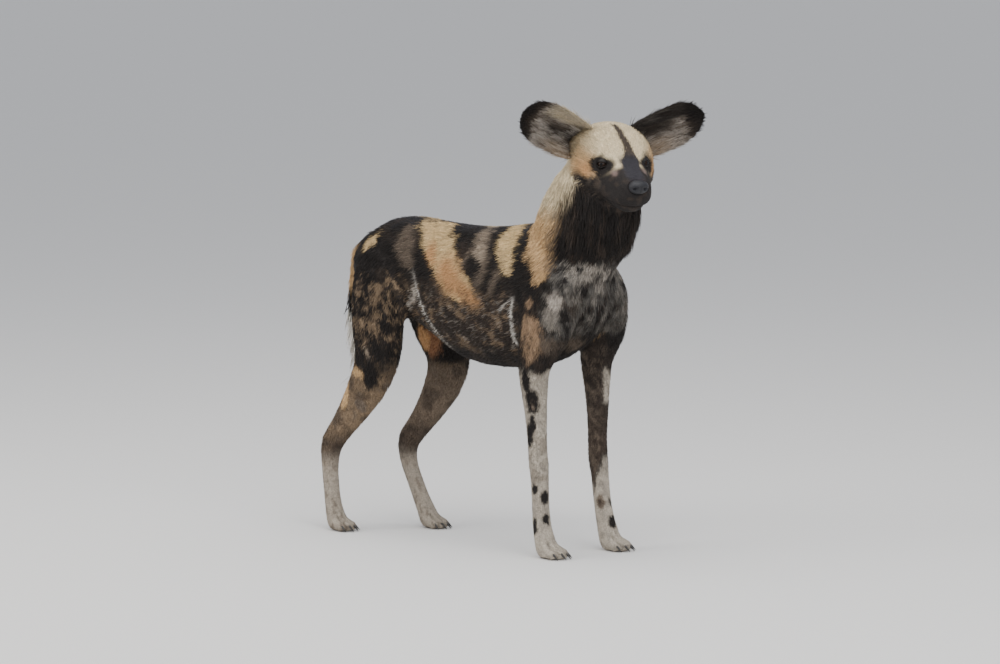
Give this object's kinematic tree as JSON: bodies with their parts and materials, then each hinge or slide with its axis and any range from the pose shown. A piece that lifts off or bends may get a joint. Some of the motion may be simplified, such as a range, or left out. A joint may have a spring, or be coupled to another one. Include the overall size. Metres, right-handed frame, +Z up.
{
  "type": "african wild dog",
  "caption": "Life-size African wild dog standing still with its head turned, large round ears up, thick throat ruff and hanging bushy tail.",
  "frame": {"origin": "on the floor under the centre of the animal's bounding box", "axes": "+X the way the body points, +Y the animal's left side, +Z up"},
  "size_m": [0.8602, 0.3558, 0.9175],
  "materials": {
    "coat": "short matt fur",
    "ear": "thinly furred skin",
    "nose": "moist bare skin",
    "eye": "wet"
  },
  "bodies": {
    "root": {"ear_left": "ear", "ear_right": "ear", "eye_left": "eye", "eye_right": "eye", "fore_left_foot": "coat", "fore_left_lower": "coat", "fore_left_upper": "coat", "fore_right_foot": "coat", "fore_right_lower": "coat", "fore_right_upper": "coat", "head": "coat", "hind_left_foot": "coat", "hind_left_lower": "coat", "hind_left_upper": "coat", "hind_right_foot": "coat", "hind_right_lower": "coat", "hind_right_upper": "coat", "neck": "coat", "nose": "nose", "tail_base": "coat", "tail_brush": "coat", "torso": "coat"}
  },
  "joints": []
}
